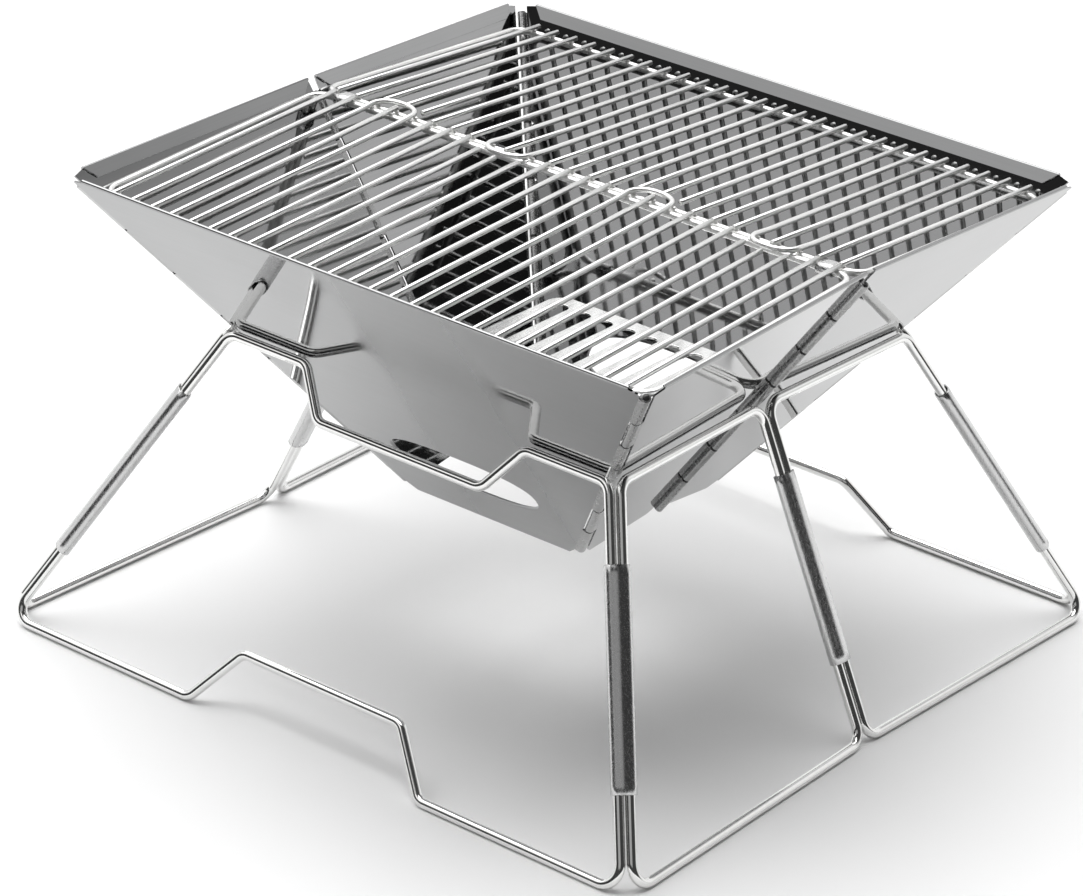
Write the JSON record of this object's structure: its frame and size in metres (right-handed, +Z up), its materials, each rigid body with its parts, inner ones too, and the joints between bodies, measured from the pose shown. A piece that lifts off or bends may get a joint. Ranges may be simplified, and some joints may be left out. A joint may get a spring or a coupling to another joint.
{
  "type": "folding camp grill",
  "caption": "Folding camp fire pit: hinged wire-frame stand, hinged sheet-steel bowl shaped like an upside-down pyramid, slotted charcoal grate and folding wire cooking grate.",
  "frame": {"origin": "on the ground, under the middle of the bowl", "axes": "+Z up, the front with the first vent faces -Y, +X to the right of someone facing the grill from the front"},
  "size_m": [0.3932, 0.387, 0.2415],
  "materials": {
    "wire": "polished stainless wire",
    "sleeve": "polished stainless tube",
    "sheet": "near-mirror stainless sheet",
    "pin": "plain steel hinge pin",
    "grate": "bright stainless"
  },
  "bodies": {
    "front_frame": {"frame_front": "wire"},
    "right_front_frame": {"frame_right_front": "wire"},
    "right_rear_frame": {"frame_right_rear": "wire"},
    "rear_frame": {"frame_rear": "wire"},
    "left_front_frame": {"frame_left_front": "wire"},
    "left_rear_frame": {"frame_left_rear": "wire"},
    "sleeve_front_right": {"sleeve_front_right": "sleeve"},
    "sleeve_right_mid": {"sleeve_mid_right": "sleeve"},
    "sleeve_rear_right": {"sleeve_rear_right": "sleeve"},
    "sleeve_front_left": {"sleeve_front_left": "sleeve"},
    "sleeve_left_mid": {"sleeve_mid_left": "sleeve"},
    "sleeve_rear_left": {"sleeve_rear_left": "sleeve"},
    "panel_front": {"panel_front": "sheet", "pin_front_right": "pin", "pin_front_left": "pin"},
    "panel_right_front": {"panel_right_front": "sheet", "pin_mid_right": "pin"},
    "panel_right_rear": {"panel_right_rear": "sheet", "pin_rear_right": "pin"},
    "panel_rear": {"panel_rear": "sheet", "pin_rear_left": "pin"},
    "panel_left_front": {"panel_left_front": "sheet", "pin_mid_left": "pin"},
    "panel_left_rear": {"panel_left_rear": "sheet"},
    "charcoal_grate": {"charcoal_grate": "grate"},
    "grill_rear": {"grate_rear": "grate"},
    "grill_clips": {"grate_clip_left": "sleeve", "grate_clip_right": "sleeve"},
    "grill_front": {"grate_front": "grate"}
  },
  "joints": [
    {"name": "leg_front_right_first", "type": "hinge", "parent": "front_frame", "child": "sleeve_front_right", "pos_m": [0.152, -0.15299, 0.0815], "axis": [-0.4034, 0.3962, 0.8248], "range_deg": [0, 47.77]},
    {"name": "leg_front_right_second", "type": "hinge", "parent": "sleeve_front_right", "child": "right_front_frame", "pos_m": [0.1557, -0.14919, 0.0815], "axis": [-0.4034, 0.3962, 0.8248], "range_deg": [0, 47.77]},
    {"name": "leg_mid_right_first", "type": "hinge", "parent": "right_front_frame", "child": "sleeve_right_mid", "pos_m": [0.15186, -0.00265, 0.0815], "axis": [0.4302, 0, -0.9027], "range_deg": [0, 85]},
    {"name": "leg_mid_right_second", "type": "hinge", "parent": "sleeve_right_mid", "child": "right_rear_frame", "pos_m": [0.15186, 0.00265, 0.0815], "axis": [0.4302, 0, -0.9027], "range_deg": [0, 85]},
    {"name": "leg_rear_right_first", "type": "hinge", "parent": "right_rear_frame", "child": "sleeve_rear_right", "pos_m": [0.1557, 0.14919, 0.0815], "axis": [-0.4034, -0.3962, 0.8248], "range_deg": [0, 47.77]},
    {"name": "leg_rear_right_second", "type": "hinge", "parent": "sleeve_rear_right", "child": "rear_frame", "pos_m": [0.152, 0.15299, 0.0815], "axis": [-0.4034, -0.3962, 0.8248], "range_deg": [0, 47.77]},
    {"name": "leg_front_left_first", "type": "hinge", "parent": "front_frame", "child": "sleeve_front_left", "pos_m": [-0.152, -0.15299, 0.0815], "axis": [-0.4034, -0.3962, -0.8248], "range_deg": [0, 47.77]},
    {"name": "leg_front_left_second", "type": "hinge", "parent": "sleeve_front_left", "child": "left_front_frame", "pos_m": [-0.1557, -0.14919, 0.0815], "axis": [-0.4034, -0.3962, -0.8248], "range_deg": [0, 47.77]},
    {"name": "leg_mid_left_first", "type": "hinge", "parent": "left_front_frame", "child": "sleeve_left_mid", "pos_m": [-0.15186, -0.00265, 0.0815], "axis": [0.4302, 0, 0.9027], "range_deg": [0, 85]},
    {"name": "leg_mid_left_second", "type": "hinge", "parent": "sleeve_left_mid", "child": "left_rear_frame", "pos_m": [-0.15186, 0.00265, 0.0815], "axis": [0.4302, 0, 0.9027], "range_deg": [0, 85]},
    {"name": "leg_rear_left_first", "type": "hinge", "parent": "left_rear_frame", "child": "sleeve_rear_left", "pos_m": [-0.1556, 0.14536, 0.0815], "axis": [-0.4034, 0.3962, -0.8248], "range_deg": [0, 47.77]},
    {"name": "bowl_lift", "type": "slide", "parent": "front_frame", "child": "panel_front", "axis": [0, 0, 1], "range_m": [0, 0.4]},
    {"name": "bowl_fold", "type": "hinge", "parent": "panel_front", "child": "panel_right_front", "pos_m": [0.17388, -0.17094, 0.2386], "axis": [0.513, -0.5042, 0.6947], "range_deg": [0, 96.1]},
    {"name": "panel_hinge_mid_right", "type": "hinge", "parent": "panel_right_front", "child": "panel_right_rear", "pos_m": [0.17247, 0, 0.23996], "axis": [-0.5787, 0, -0.8156], "range_deg": [0, 155]},
    {"name": "panel_hinge_rear_right", "type": "hinge", "parent": "panel_right_rear", "child": "panel_rear", "pos_m": [0.17388, 0.17094, 0.2386], "axis": [0.513, 0.5042, 0.6947], "range_deg": [0, 96.1]},
    {"name": "panel_hinge_front_left", "type": "hinge", "parent": "panel_front", "child": "panel_left_front", "pos_m": [-0.17388, -0.17094, 0.2386], "axis": [0.513, 0.5042, -0.6947], "range_deg": [0, 96.1]},
    {"name": "panel_hinge_mid_left", "type": "hinge", "parent": "panel_left_front", "child": "panel_left_rear", "pos_m": [-0.17247, 0, 0.23996], "axis": [-0.5787, 0, 0.8156], "range_deg": [0, 155]},
    {"name": "charcoal_lift", "type": "slide", "parent": "panel_front", "child": "charcoal_grate", "axis": [0, 0, 1], "range_m": [0, 0.60002]},
    {"name": "grill_lift", "type": "slide", "parent": "charcoal_grate", "child": "grill_rear", "axis": [0, 0, 1], "range_m": [0, 0.60002]},
    {"name": "clips_turn", "type": "hinge", "parent": "grill_rear", "child": "grill_clips", "pos_m": [0, 0.0022, 0.2355], "axis": [1, 0, 0], "range_deg": [0, 84]},
    {"name": "grill_fold", "type": "hinge", "parent": "grill_clips", "child": "grill_front", "pos_m": [0, -0.0022, 0.2355], "axis": [1, 0, 0], "range_deg": [0, 84]}
  ],
  "couplings": [
    {"joint": "leg_front_right_first", "follows": "bowl_lift", "rad_per_m": 2.0844},
    {"joint": "leg_front_right_second", "follows": "bowl_lift", "rad_per_m": 2.0844},
    {"joint": "leg_mid_right_first", "follows": "bowl_lift", "rad_per_m": 3.7088},
    {"joint": "leg_mid_right_second", "follows": "bowl_lift", "rad_per_m": 3.7088},
    {"joint": "leg_rear_right_first", "follows": "bowl_lift", "rad_per_m": 2.0844},
    {"joint": "leg_rear_right_second", "follows": "bowl_lift", "rad_per_m": 2.0844},
    {"joint": "leg_front_left_first", "follows": "bowl_lift", "rad_per_m": 2.0844},
    {"joint": "leg_front_left_second", "follows": "bowl_lift", "rad_per_m": 2.0844},
    {"joint": "leg_mid_left_first", "follows": "bowl_lift", "rad_per_m": 3.7088},
    {"joint": "leg_mid_left_second", "follows": "bowl_lift", "rad_per_m": 3.7088},
    {"joint": "leg_rear_left_first", "follows": "bowl_lift", "rad_per_m": 2.0844},
    {"joint": "panel_hinge_mid_right", "follows": "bowl_fold", "ratio": 1.6129},
    {"joint": "panel_hinge_rear_right", "follows": "bowl_fold", "ratio": 1},
    {"joint": "panel_hinge_front_left", "follows": "bowl_fold", "ratio": 1},
    {"joint": "panel_hinge_mid_left", "follows": "bowl_fold", "ratio": 1.6129},
    {"joint": "charcoal_lift", "follows": "bowl_fold", "m_per_rad": 0.35773},
    {"joint": "grill_lift", "follows": "grill_fold", "m_per_rad": 0.40926},
    {"joint": "clips_turn", "follows": "grill_fold", "ratio": 1}
  ]
}
